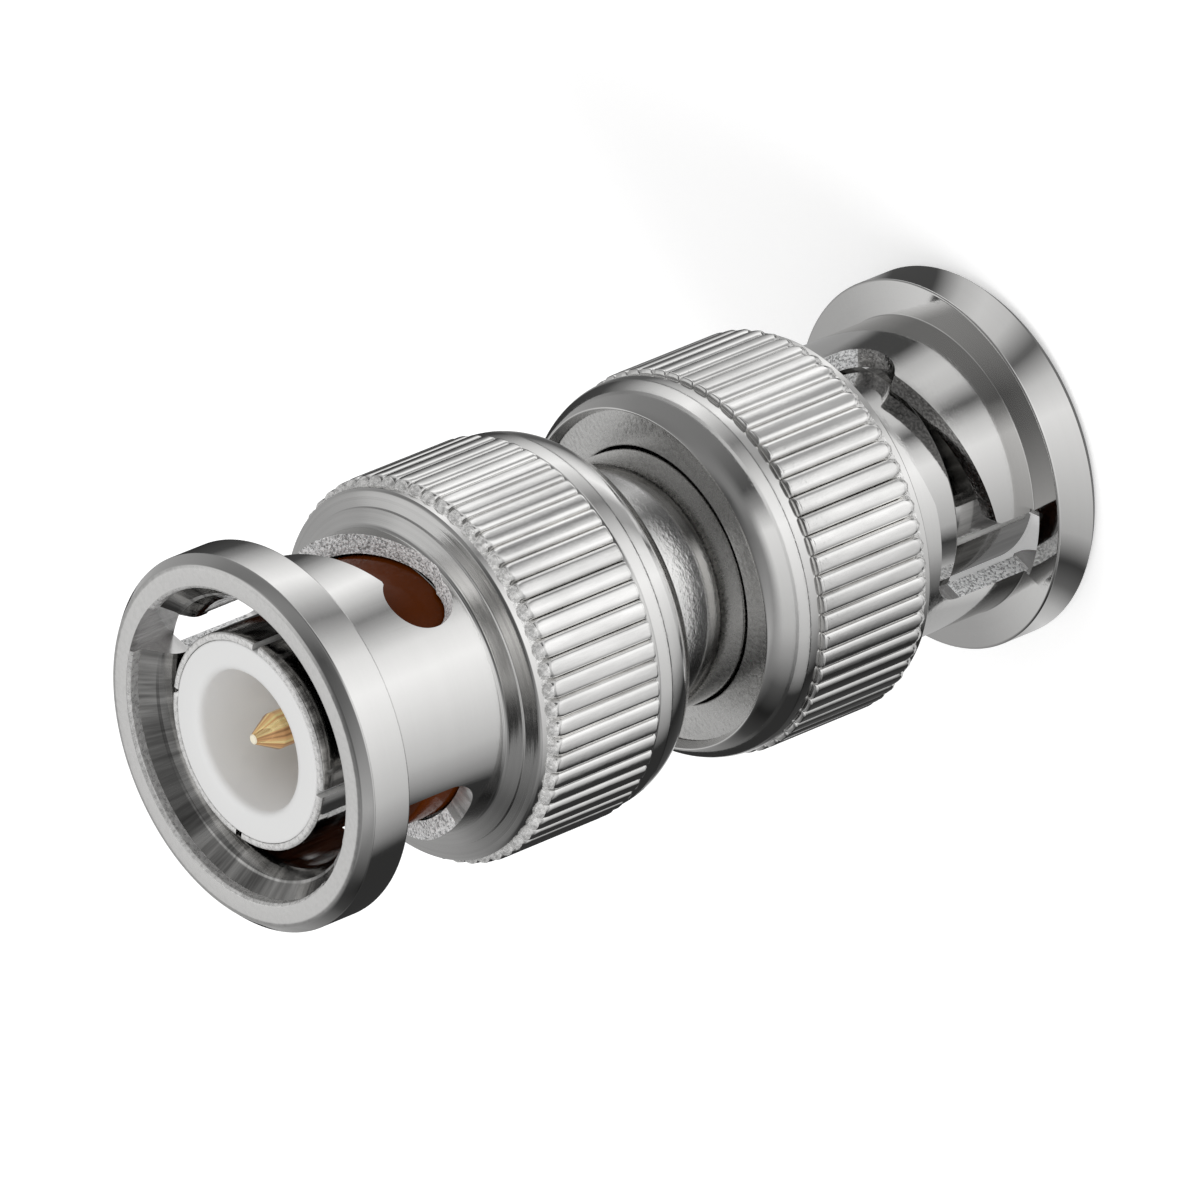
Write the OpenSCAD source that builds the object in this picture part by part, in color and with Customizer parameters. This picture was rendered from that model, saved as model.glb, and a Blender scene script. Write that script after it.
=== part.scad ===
// Coaxial adapter with a bayonet plug at each end. It stands on the rim of the lower
// coupling nut, with its axis along +Z and the origin at the centre of that rim face.
// Each coupling nut is drawn from its own rim face backwards, so a depth in this file
// is a distance in from the rim of the end it belongs to.

/* [Overall] */
// Distance between the rim faces of the two coupling nuts
overall_length = 35; // [33:0.5:60]
// Angle of the lug entry of the lower nut
lower_nut_angle = 45; // [0:0.5:180]
// Angle of the lug entry of the upper nut
upper_nut_angle = 28.5; // [0:0.5:180]

/* [Coupling nut rim] */
// Wall of the rim round the mouth
rim_wall = 1.2; // [0.9:0.05:2]
// Thickness of the front rim
rim_t = 2.05; // [1.6:0.05:2.6]
// Width of the large chamfer round the front face
rim_chamfer = 0.3; // [0.1:0.05:0.5]
// Width of the fine bevel between the front face and the large chamfer
rim_bevel = 0.15; // [0.05:0.05:0.3]
// Edge break at the back of the rim and at the knurl
edge_break = 0.08; // [0.02:0.02:0.12]

/* [Coupling nut bore] */
// Radial step from the bore out to the mouth
mouth_flare = 0.88; // [0.6:0.02:1.1]
// Depth of the straight part of the mouth
mouth_depth = 0.45; // [0.2:0.05:0.8]
// Depth at which the funnel reaches the bore
funnel_depth = 1.5; // [1.1:0.05:2]
// Edge break at the front of the mouth
mouth_bevel = 0.1; // [0.04:0.02:0.2]
// Height of the step in the middle of the funnel
funnel_step = 0.1; // [0.04:0.02:0.16]
// Radial room between the outer contact and the bore for the barrel of the mating socket
barrel_room = 0.9; // [0.7:0.02:1.1]
// Wall of the sleeve between the rim and the collar
sleeve_wall = 0.73; // [0.5:0.01:0.9]
// Depth of the front face of the collar, where the sleeve ends
collar_depth = 7.65; // [7.65:0.05:8.3]
// Length of the conical front face of the collar along the axis
collar_cone = 0.55; // [0.3:0.05:0.8]
// Share of the cone that lies in front of its step
cone_step_at = 0.5; // [0.35:0.05:0.65]
// Height of the step in the middle of the cone
cone_step = 0.08; // [0.04:0.02:0.12]
// Wall of the collar over the spring chamber, measured at the root of the knurl
collar_wall = 0.53; // [0.4:0.01:0.9]
// Distance from the front face of the collar to the shoulder that stops the nut
stop_setback = 0.95; // [0.8:0.05:1.4]
// Radial step from the bore out to the spring chamber
chamber_step = 1.47; // [1.3:0.02:1.8]

/* [Knurl] */
// Number of teeth
tooth_count = 60; // [50:1:66]
// Least gap between the round backs of two teeth
groove_w = 0.02; // [0.01:0.005:0.1]
// Height of a tooth above its root cylinder
tooth_height = 0.3; // [0.2:0.02:0.36]
// Distance from the front face of the collar to the teeth
tooth_setback = 0.85; // [0.7:0.05:1.4]

/* [Rolled back edge] */
// Plain land between the teeth and the curve of the dome
dome_land = 0.489; // [0.2:0.001:1.5]
// Radius of the domed shoulder
dome_r = 2.2; // [1.9:0.05:2.6]
// Height of the dome above the root of the knurl
dome_step = 0.16; // [0.04:0.02:0.2]
// Distance that the rolled lip reaches in over the retaining washer
lip_overhang = 0.22; // [0.12:0.02:0.4]
// Width of the lip from its inner edge to the crest of the dome
lip_w = 0.25; // [0.15:0.05:0.35]
// Height of the lip behind the retaining washer
lip_t = 0.42; // [0.3:0.02:0.6]

/* [Bayonet cam] */
// Width of the lug entry
entry_w = 2.66; // [2.3:0.02:2.8]
// Width of the entry groove inside the rim
rim_groove_w = 2.4; // [2.1:0.02:2.6]
// Depth of the entry groove in the wall of the mouth
entry_groove = 0.12; // [0.04:0.01:0.3]
// Depth of the back wall of the entry
entry_depth = 6.55; // [6.2:0.05:6.8]
// Depth of the front edge of the ramp where it leaves the entry
ramp_front_depth = 3.84; // [3.4:0.02:4.2]
// Rise of the ramp for one degree of turn
ramp_rise = 0.0218; // [0.018:0.0002:0.024]
// Angle at which the back edge of the ramp begins to rise
ramp_back_start = 30; // [24:1:40]
// Metal left between the back edge of the ramp and the collar
ramp_margin = 0.05; // [0.05:0.01:0.4]
// Angle from the entry to the lock hole
lock_angle = 92.75; // [84:0.25:100]
// Depth of the centre of the lock hole
lock_depth = 6.12; // [5.9:0.02:6.3]
// Diameter of the lock hole
lock_d = 2.6; // [2.2:0.05:2.8]
// Angle by which the ramp stops short of the lock hole
ramp_stop = 9; // [6:0.5:14]
// Extra radius of the round end of the ramp
ramp_end_extra = 0.03; // [0.02:0.01:0.05]

/* [Retaining and thrust washers] */
// Thickness of the retaining washer
retainer_t = 0.6; // [0.4:0.05:0.8]
// Thickness of the thrust washer
thrust_t = 0.28; // [0.2:0.02:0.4]

/* [Wave springs] */
// Thickness of the spring strip
spring_strip_t = 0.25; // [0.15:0.01:0.35]
// Width of the spring strip
spring_strip_w = 1.1; // [0.8:0.05:1.2]
// Waves round each spring
spring_waves = 3; // [3:1:4]
// Fitted height of one spring
spring_height = 1.2; // [0.9:0.05:1.4]

/* [Body] */
// Radial step from a barrel down to the neck between the two nuts
neck_step = 0.05; // [0.05:0.05:0.3]
// Thickness of the flange
flange_t = 3.3; // [2.4:0.1:3.6]
// Edge break of the flange
flange_edge = 0.15; // [0.05:0.05:0.3]
// Radial step from the outer contact down to the socket that holds its root
socket_step = 0.17; // [0.16:0.01:0.3]
// Depth of the shoulder that the outer contact and the insulator seat on
seat_depth = 9.4; // [9.2:0.05:10]
// Depth of the front face of the upper barrel
upper_barrel_depth = 7.6; // [7.4:0.05:8]
// Depth of the front face of the lower barrel
lower_barrel_depth = 5; // [4.6:0.05:5.6]

/* [Outer contact] */
// Outer diameter of the slotted tube
contact_d = 8.1; // [8:0.02:8.2]
// Wall of the slotted tube
contact_wall = 0.27; // [0.2:0.01:0.35]
// Radial step from the inside of the tube in to the inside of its root
root_neck = 0.18; // [0.1:0.01:0.3]
// Depth of the tip
contact_tip_depth = 0.52; // [0.4:0.02:1.5]
// Radius of the outer corner of the tip
contact_tip_round = 0.1; // [0.04:0.02:0.16]
// Number of slots
contact_slots = 4; // [2:1:6]
// Width of a slot
contact_slot_w = 0.3; // [0.15:0.01:0.4]
// Depth at which the slots end
contact_slot_depth = 4.6; // [3.5:0.1:4.9]
// Angle of the first slot
contact_slot_angle = 42; // [0:1:89]

/* [Insulator] */
// Depth of the front face
insulator_face_depth = 0.5; // [0.4:0.02:1.5]
// Edge break of the front face
insulator_break = 0.08; // [0.04:0.02:0.16]
// Diameter of the recess round the centre pin
recess_d = 5.24; // [5:0.02:5.6]
// Depth of the floor of the recess
recess_depth = 5.7; // [4.5:0.1:6.5]
// Diameter of the stem inside the body
stem_d = 4.6; // [4:0.1:5]

/* [Centre contact] */
// Diameter of the pins
pin_d = 1.35; // [1.3:0.01:1.4]
// Depth of the tip of the pin
pin_tip_depth = 0.8; // [0.7:0.02:2]
// Length of the conical point
pin_point = 0.95; // [0.6:0.05:1.2]
// Diameter of the blunt end of the point
pin_end_d = 0.34; // [0.2:0.02:0.5]
// Diameter of the rod inside the insulators
rod_d = 1.8; // [1.5:0.05:2]
// Diameter of the collar in the middle
pin_collar_d = 2.6; // [2.2:0.05:3]
// Length of the collar in the middle
pin_collar_l = 1.2; // [0.8:0.1:2]

/* [Gaskets] */
// Depth of the front face of the upper gasket
upper_gasket_depth = 5; // [4.8:0.05:6.5]
// Length of the lower gasket in its rebate
lower_gasket_l = 1.2; // [0.8:0.05:1.6]
// Wall of the lip of metal round the lower gasket
gasket_lip_wall = 0.24; // [0.2:0.01:0.3]

/* [Fits] */
// Radial clearance of a nut on the barrel that guides it
barrel_gap = 0.1; // [0.04:0.01:0.1]
// Radial clearance of the flange in the spring chamber
flange_gap = 0.12; // [0.06:0.01:0.3]
// Radial clearance of a running fit
running_gap = 0.05; // [0.02:0.01:0.1]
// Axial clearance of a piece that turns against another
turning_gap = 0.03; // [0.01:0.01:0.06]
// Radial clearance left round a pressed or seated piece
seat_gap = 0.01; // [0:0.005:0.02]

/* [Hidden] */
$fn = 96;

// Cut-outs run this far past the surface that they open
past = 1;

contact_r = contact_d / 2;
contact_in_r = contact_r - contact_wall;
bore_r = contact_r + barrel_room;
mouth_r = bore_r + mouth_flare;
rim_r = mouth_r + rim_wall;
entry_floor_r = mouth_r + entry_groove;
sleeve_r = bore_r + sleeve_wall;
chamber_r = bore_r + chamber_step;
root_r = chamber_r + collar_wall;
lip_r = chamber_r - lip_overhang;
stop_depth = collar_depth + stop_setback;
ramp_back_depth = collar_depth - ramp_margin;
tooth_crest_r = root_r + tooth_height;
half_pitch = sin(180 / tooth_count);
tooth_r = (tooth_crest_r * half_pitch - groove_w / 2) / (1 + half_pitch);
tooth_centre_r = tooth_crest_r - tooth_r;
tooth_start = collar_depth + tooth_setback;
dome_base_r = root_r + dome_step;
dome_centre_r = dome_base_r - dome_r;
crest_r = lip_r + lip_w;
dome_height = sqrt(dome_r * dome_r - pow(crest_r - dome_centre_r, 2));

barrel_r = bore_r - barrel_gap;
neck_r = barrel_r - neck_step;
flange_r = chamber_r - flange_gap;
socket_r = contact_r - socket_step;
contact_root_r = socket_r - seat_gap;
contact_root_in_r = contact_in_r - root_neck;
insulator_root_r = contact_root_in_r - seat_gap;
rebate_r = barrel_r - gasket_lip_wall;
insulator_r = contact_in_r - seat_gap;
stem_r = stem_d / 2;
pin_r = pin_d / 2;
rod_r = rod_d / 2;

// The stack of pieces inside a nut, from its stop shoulder backwards
flange_front = stop_depth + turning_gap + thrust_t;
flange_back = flange_front + flange_t;
spring_stack = 2 * spring_height;
retainer_front = flange_back + spring_stack;
retainer_back = retainer_front + retainer_t;
lip_front = retainer_back + turning_gap;
nut_length = lip_front + lip_t;
dome_start = nut_length - dome_height;
tooth_end = dome_start - dome_land;

lower_gasket_back = lower_barrel_depth + lower_gasket_l;
middle = overall_length / 2;

// Depth of the front edge of the cam slot at a turn of a degrees from the entry
function cam_front(a) = ramp_front_depth + ramp_rise * a;
// Depth of the back edge of the cam slot at the same turn
function cam_back(a) = min(ramp_back_depth, entry_depth + ramp_rise * max(0, a - ramp_back_start));

// The entry half angle lifts the start of the ramp to the edge of the entry
entry_half_angle = asin(entry_w / 2 / sleeve_r);
cam_end = lock_angle - ramp_stop;
cam_step = 2;

// Places an upper-end piece by turning it end over end
module at_upper() {
    translate([0, 0, overall_length]) rotate([180, 0, 0]) children();
}

// A plain ring between two depths
module ring(r_out, r_in, from, to) {
    rotate_extrude() translate([r_in, from]) square([r_out - r_in, to - from]);
}

// Outer and inner outline of the coupling nut, turned about the axis
module nut_profile() {
    face_r = rim_r - rim_chamfer - rim_bevel;
    bevel_back = rim_bevel / 3;
    chamfer_back = bevel_back + rim_chamfer * 1.15;
    funnel_mid_r = (mouth_r + bore_r) / 2;
    funnel_mid = (mouth_depth + funnel_depth) / 2;
    cone_mid_r = sleeve_r + (root_r - sleeve_r) * cone_step_at;
    cone_mid = collar_depth + collar_cone * cone_step_at;
    cone_back = collar_depth + collar_cone;
    difference() {
        union() {
            polygon([
                [mouth_r + mouth_bevel, 0], [face_r, 0], [face_r + rim_bevel, bevel_back],
                [rim_r, chamfer_back], [rim_r, rim_t - edge_break], [rim_r - edge_break, rim_t],
                [sleeve_r, rim_t], [sleeve_r, collar_depth], [cone_mid_r, cone_mid],
                [cone_mid_r, cone_mid + cone_step], [root_r - edge_break, cone_back],
                [root_r, cone_back + edge_break], [root_r, tooth_end],
                [dome_base_r - edge_break / 2, tooth_end],
                [dome_base_r, tooth_end + edge_break], [dome_base_r, dome_start],
                [bore_r, dome_start], [bore_r, funnel_depth],
                [funnel_mid_r - funnel_step, funnel_mid],
                [funnel_mid_r, funnel_mid - funnel_step / 2],
                [mouth_r, mouth_depth], [mouth_r, mouth_bevel]
            ]);
            intersection() {
                translate([dome_centre_r, dome_start]) circle(dome_r);
                translate([bore_r, dome_start]) square([dome_r + chamber_r, dome_height]);
            }
        }
        // Spring chamber, up to the underside of the lip
        translate([0, stop_depth]) square([chamber_r, lip_front - stop_depth]);
        // Opening inside the rolled lip, flared towards the back
        polygon([
            [0, lip_front - past], [lip_r, lip_front - past], [lip_r, lip_front],
            [crest_r - edge_break, nut_length], [crest_r - edge_break, nut_length + past],
            [0, nut_length + past]
        ]);
    }
}

// Ball-shaped front end of one knurl tooth
module tooth_ball() {
    rotate_extrude($fn = 32) intersection() {
        circle(tooth_r);
        translate([0, -tooth_r]) square([tooth_r, tooth_r]);
    }
}

// Ring of round-backed teeth whose front ends are balls
module knurl() {
    ball_depth = tooth_start + tooth_r;
    translate([0, 0, ball_depth]) linear_extrude(tooth_end - ball_depth) difference() {
        union() {
            circle(root_r);
            for (i = [0 : tooth_count - 1])
                rotate(i * 360 / tooth_count) translate([tooth_centre_r, 0]) circle(tooth_r, $fn = 32);
        }
        circle(chamber_r);
    }
    for (i = [0 : tooth_count - 1])
        rotate([0, 0, i * 360 / tooth_count])
            translate([tooth_centre_r, 0, ball_depth]) tooth_ball();
}

// The rising stretch of a cam slot, swept from the entry to near the lock hole
module cam_ramp() {
    steps = ceil(cam_end / cam_step);
    r_in = bore_r - past;
    r_out = sleeve_r + past;
    points = [
        for (i = [0 : steps])
            let (
                a = cam_end * i / steps,
                f = cam_front(a - entry_half_angle),
                b = cam_back(a)
            )
            each [
                [r_in * cos(a), r_in * sin(a), f], [r_out * cos(a), r_out * sin(a), f],
                [r_out * cos(a), r_out * sin(a), b], [r_in * cos(a), r_in * sin(a), b]
            ]
    ];
    sides = [
        for (i = [0 : steps - 1])
            for (k = [0 : 3])
                let (p = 4 * i, n = (k + 1) % 4)
                each [[p + k, p + n, p + 4 + k], [p + n, p + 4 + n, p + 4 + k]]
    ];
    last = 4 * steps;
    ends = [[2, 1, 0], [3, 2, 0], [last, last + 1, last + 2], [last, last + 2, last + 3]];
    polyhedron(points, concat(sides, ends), convexity = 6);
}

// A round hole through the sleeve wall at one angle and depth
module wall_hole(angle, depth, r) {
    rotate([0, 0, angle])
        translate([bore_r - past, 0, depth])
            rotate([0, 90, 0]) cylinder(h = sleeve_wall + 2 * past, r = r);
}

// One cam slot: the entry through the rim, the ramp and the lock hole
module cam_slot() {
    entry_end = entry_depth - entry_w / 2;
    cam_mid = (cam_front(cam_end - entry_half_angle) + cam_back(cam_end)) / 2;
    cam_w = cam_back(cam_end) - cam_front(cam_end - entry_half_angle);
    groove_h = rim_t + 2 * past;
    widen_depth = rim_t - edge_break / 2;
    intersection() {
        translate([0, -rim_groove_w / 2, -past]) cube([rim_r, rim_groove_w, groove_h]);
        translate([0, 0, -past]) cylinder(h = groove_h, r = entry_floor_r);
    }
    // Behind the rim the entry widens and runs right through the sleeve
    translate([0, -entry_w / 2, widen_depth])
        cube([entry_floor_r, entry_w, entry_end - widen_depth]);
    wall_hole(0, entry_end, entry_w / 2);
    cam_ramp();
    wall_hole(cam_end, cam_mid, cam_w / 2 + ramp_end_extra);
    wall_hole(lock_angle, lock_depth, lock_d / 2);
}

// Coupling nut: rim, sleeve, knurled collar and rolled back edge in one piece
module coupling_nut() {
    color("silver")
    difference() {
        union() {
            rotate_extrude() nut_profile();
            knurl();
        }
        for (side = [0, 180]) rotate([0, 0, side]) cam_slot();
    }
}

// Retaining washer, held under the rolled lip and sliding along the neck
module retaining_washer() {
    color("gainsboro")
        ring(chamber_r - running_gap, barrel_r + running_gap, retainer_front, retainer_back);
}

// Thrust washer between the stop shoulder of the nut and the flange
module thrust_washer() {
    color("darkgray")
        ring(flange_r, barrel_r + running_gap, flange_front - thrust_t, flange_front);
}

// One wave spring, with its strip waving between two depths
module wave_spring(from, turn) {
    steps = 72;
    mid_r = (barrel_r + chamber_r) / 2;
    r_in = mid_r - spring_strip_w / 2;
    r_out = mid_r + spring_strip_w / 2;
    swing = (spring_height - spring_strip_t) / 2 - turning_gap / 2;
    z_mid = from + spring_height / 2;
    points = [
        for (i = [0 : steps - 1])
            let (
                a = 360 * i / steps,
                z = z_mid + swing * cos(spring_waves * a + turn),
                z0 = z - spring_strip_t / 2,
                z1 = z + spring_strip_t / 2
            )
            each [
                [r_in * cos(a), r_in * sin(a), z0], [r_out * cos(a), r_out * sin(a), z0],
                [r_out * cos(a), r_out * sin(a), z1], [r_in * cos(a), r_in * sin(a), z1]
            ]
    ];
    total = 4 * steps;
    faces = [
        for (i = [0 : steps - 1])
            for (k = [0 : 3])
                let (p = 4 * i, q = (p + 4) % total, n = (k + 1) % 4)
                each [[p + k, p + n, q + k], [p + n, q + n, q + k]]
    ];
    color("slategray") polyhedron(points, faces, convexity = 6);
}

// Slotted tube that springs inside the barrel of the mating socket
module outer_contact(gasket_from) {
    slot_l = contact_slot_depth - contact_tip_depth;
    root_l = seat_depth - gasket_from + contact_wall;
    color("silver")
    difference() {
        rotate_extrude() {
            difference() {
                union() {
                    translate([contact_in_r, contact_tip_depth])
                        square([contact_wall, gasket_from - contact_tip_depth]);
                    translate([contact_root_in_r, gasket_from - contact_wall])
                        square([contact_root_r - contact_root_in_r, root_l]);
                }
                // Rounded outer corner of the tip
                difference() {
                    translate([contact_r - contact_tip_round, contact_tip_depth - past])
                        square([past, contact_tip_round + past]);
                    translate([contact_r - contact_tip_round, contact_tip_depth + contact_tip_round])
                        circle(contact_tip_round);
                }
            }
        }
        for (i = [0 : contact_slots - 1])
            rotate([0, 0, contact_slot_angle + i * 360 / contact_slots])
                translate([contact_in_r - past, -contact_slot_w / 2, contact_tip_depth - past])
                    cube([contact_wall + 2 * past, contact_slot_w, slot_l + past]);
    }
}

// Insulator with a recess round the pin and a stem that holds the centre contact
module insulator(gasket_from) {
    hole_r = rod_r + seat_gap;
    collar_pocket_r = pin_collar_d / 2 + seat_gap;
    neck_from = gasket_from - contact_wall - seat_gap;
    color("white")
    rotate_extrude()
        polygon([
            [recess_d / 2, recess_depth], [recess_d / 2, insulator_face_depth + insulator_break],
            [recess_d / 2 + insulator_break, insulator_face_depth],
            [insulator_r - insulator_break, insulator_face_depth],
            [insulator_r, insulator_face_depth + insulator_break], [insulator_r, neck_from],
            [insulator_root_r, neck_from], [insulator_root_r, seat_depth],
            [stem_r, seat_depth], [stem_r, middle - seat_gap], [collar_pocket_r, middle - seat_gap],
            [collar_pocket_r, middle - pin_collar_l / 2 - seat_gap],
            [hole_r, middle - pin_collar_l / 2 - seat_gap], [hole_r, recess_depth]
        ]);
}

// Centre contact: one gilt rod with a pin at each end and a collar in the middle
module centre_contact() {
    end_r = pin_end_d / 2;
    color("gold")
    rotate_extrude()
        polygon([
            [0, pin_tip_depth], [end_r, pin_tip_depth], [pin_r, pin_tip_depth + pin_point],
            [pin_r, recess_depth], [rod_r, recess_depth],
            [rod_r, middle - pin_collar_l / 2], [pin_collar_d / 2, middle - pin_collar_l / 2],
            [pin_collar_d / 2, middle + pin_collar_l / 2], [rod_r, middle + pin_collar_l / 2],
            [rod_r, overall_length - recess_depth], [pin_r, overall_length - recess_depth],
            [pin_r, overall_length - pin_tip_depth - pin_point],
            [end_r, overall_length - pin_tip_depth], [0, overall_length - pin_tip_depth]
        ]);
}

// Silicone ring against the front face of the upper barrel
module upper_gasket() {
    color("saddlebrown")
        at_upper()
            ring(barrel_r - seat_gap, socket_r, upper_gasket_depth, upper_barrel_depth);
}

// Silicone ring in the rebate of the lower barrel
module lower_gasket() {
    color("saddlebrown")
        ring(rebate_r - seat_gap, socket_r, lower_barrel_depth, lower_gasket_back);
}

// Body with the upper flange, the neck and the spigot that takes the flange bush
module main_body() {
    bush_back = overall_length - flange_back;
    color("silver")
    at_upper()
    rotate_extrude()
        polygon([
            [socket_r, upper_barrel_depth], [barrel_r, upper_barrel_depth],
            [barrel_r, flange_front], [flange_r - flange_edge, flange_front],
            [flange_r, flange_front + flange_edge], [flange_r, flange_back - flange_edge],
            [flange_r - flange_edge, flange_back], [neck_r, flange_back],
            [neck_r, bush_back], [socket_r - seat_gap, bush_back],
            [socket_r - seat_gap, overall_length - seat_depth],
            [stem_r + seat_gap, overall_length - seat_depth],
            [stem_r + seat_gap, seat_depth], [socket_r, seat_depth]
        ]);
}

// Bush pressed on the spigot, with the lower flange and the lower barrel
module flange_bush() {
    color("silver")
    rotate_extrude()
        polygon([
            [rebate_r, lower_barrel_depth], [barrel_r, lower_barrel_depth],
            [barrel_r, flange_front], [flange_r - flange_edge, flange_front],
            [flange_r, flange_front + flange_edge], [flange_r, flange_back - flange_edge],
            [flange_r - flange_edge, flange_back], [socket_r, flange_back],
            [socket_r, lower_gasket_back], [rebate_r, lower_gasket_back]
        ]);
}

at_upper() rotate([0, 0, -upper_nut_angle]) coupling_nut();  // upper_coupling_nut
at_upper() retaining_washer();  // upper_retaining_washer
at_upper() wave_spring(flange_back + spring_height, 180);  // upper_outer_wave_spring
at_upper() wave_spring(flange_back, 0);  // upper_inner_wave_spring
at_upper() thrust_washer();  // upper_thrust_washer
upper_gasket();
at_upper() outer_contact(upper_gasket_depth);  // upper_outer_contact
at_upper() insulator(upper_gasket_depth);  // upper_insulator
main_body();
centre_contact();
flange_bush();
insulator(lower_barrel_depth);  // lower_insulator
outer_contact(lower_barrel_depth);  // lower_outer_contact
lower_gasket();
thrust_washer();  // lower_thrust_washer
wave_spring(flange_back, 0);  // lower_inner_wave_spring
wave_spring(flange_back + spring_height, 180);  // lower_outer_wave_spring
retaining_washer();  // lower_retaining_washer
rotate([0, 0, lower_nut_angle]) coupling_nut();  // lower_coupling_nut
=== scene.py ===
"""Coaxial adapter with a bayonet plug at each end, standing on the rim of its lower nut.

The packed part gives the frame. Every piece that can be seen is turned again here as a fine mesh
inside the space that its node holds, and dressed with its own finish. Sizes are in millimetres
and become metres where a mesh is made. A depth is a distance in from the rim face of an end.
"""

import logging
import math
from dataclasses import dataclass
from enum import Enum
from functools import partial
from typing import Callable, Sequence

import bmesh
import bpy
import numpy as np
from mathutils import Matrix, Vector


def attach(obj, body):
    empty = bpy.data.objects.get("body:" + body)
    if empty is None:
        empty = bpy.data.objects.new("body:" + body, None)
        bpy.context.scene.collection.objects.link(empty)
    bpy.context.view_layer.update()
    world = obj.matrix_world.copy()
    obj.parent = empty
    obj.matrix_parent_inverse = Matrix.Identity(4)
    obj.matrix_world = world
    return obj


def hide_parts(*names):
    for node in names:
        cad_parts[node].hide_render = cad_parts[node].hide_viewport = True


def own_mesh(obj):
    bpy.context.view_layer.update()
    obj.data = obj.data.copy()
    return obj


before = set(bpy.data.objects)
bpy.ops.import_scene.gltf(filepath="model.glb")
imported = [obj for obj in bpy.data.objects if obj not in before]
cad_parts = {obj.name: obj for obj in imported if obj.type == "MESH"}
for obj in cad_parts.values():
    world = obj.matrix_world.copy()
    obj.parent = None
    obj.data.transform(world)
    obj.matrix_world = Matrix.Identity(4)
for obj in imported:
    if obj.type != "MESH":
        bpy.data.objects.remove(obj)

log = logging.getLogger("adapter")
logging.basicConfig(level=logging.INFO, format="%(message)s")

MM = 0.001
MICRON = 1e-6
OVERALL = 35.0
FLANGE_BACK = 12.21
COLUMNS = 240
FINE_COLUMNS = 320
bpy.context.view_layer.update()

Piece = bpy.types.Object
Socket = bpy.types.NodeSocket
RimPoint = tuple[float, float]
Colour = tuple[float, float, float]
Levels = tuple[tuple[float, float], ...]
Feeds = dict[str | int, object]


class End(Enum):
    """The two ends of the adapter."""

    UPPER = "upper"
    LOWER = "lower"

    def node(self, piece: str) -> str:
        """Name of this end's CAD node for a piece."""
        return f"{self.value}_{piece}"

    def placing(self) -> Matrix:
        """Matrix from a drawing that starts at the rim face, in metres, to the row frame."""
        if self is End.LOWER:
            return Matrix.Identity(4)
        return Matrix.Translation((0, 0, OVERALL * MM)) @ Matrix.Rotation(math.pi, 4, "X")


@dataclass(frozen=True)
class Corner:
    """One corner of a turned outline, with how far its rounding reaches along both sides."""

    r: float
    z: float
    cut: float = 0.0


def ring_section(radii: RimPoint, depths: RimPoint, *cuts: float) -> list[Corner]:
    """Corners of a plain ring's section, from the inner front one round to the inner back one."""
    (inner, outer), (front, back) = radii, depths
    spots = ((inner, front), (outer, front), (outer, back), (inner, back))
    return [Corner(r, z, cut) for (r, z), cut in zip(spots, cuts)]


def rounded_outline(corners: Sequence[Corner], closed: bool, steps: int = 5) -> list[RimPoint]:
    """Rounds the corners of an outline.

    Args:
        corners: the outline's corners in order.
        closed: whether the last corner joins the first.
        steps: facets in each rounding.

    Returns:
        Points of the rounded outline.
    """
    most_of_side = 0.48
    points: list[RimPoint] = []
    count = len(corners)
    for i, corner in enumerate(corners):
        here = Vector((corner.r, corner.z))
        if corner.cut <= 0 or (not closed and i in (0, count - 1)):
            points.append((corner.r, corner.z))
            continue
        before = Vector((corners[i - 1].r, corners[i - 1].z)) - here
        after = Vector((corners[(i + 1) % count].r, corners[(i + 1) % count].z)) - here
        reach = min(corner.cut, before.length * most_of_side, after.length * most_of_side)
        start, end = here + before.normalized() * reach, here + after.normalized() * reach
        for t in (k / steps for k in range(steps + 1)):
            p = start * (1 - t) ** 2 + here * (2 * t * (1 - t)) + end * t**2
            points.append((p.x, p.y))
    return points


def even_angles(count: int) -> np.ndarray:
    """Angles of evenly spaced columns, in radians."""
    return np.arange(count) * (2 * math.pi / count)


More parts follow.
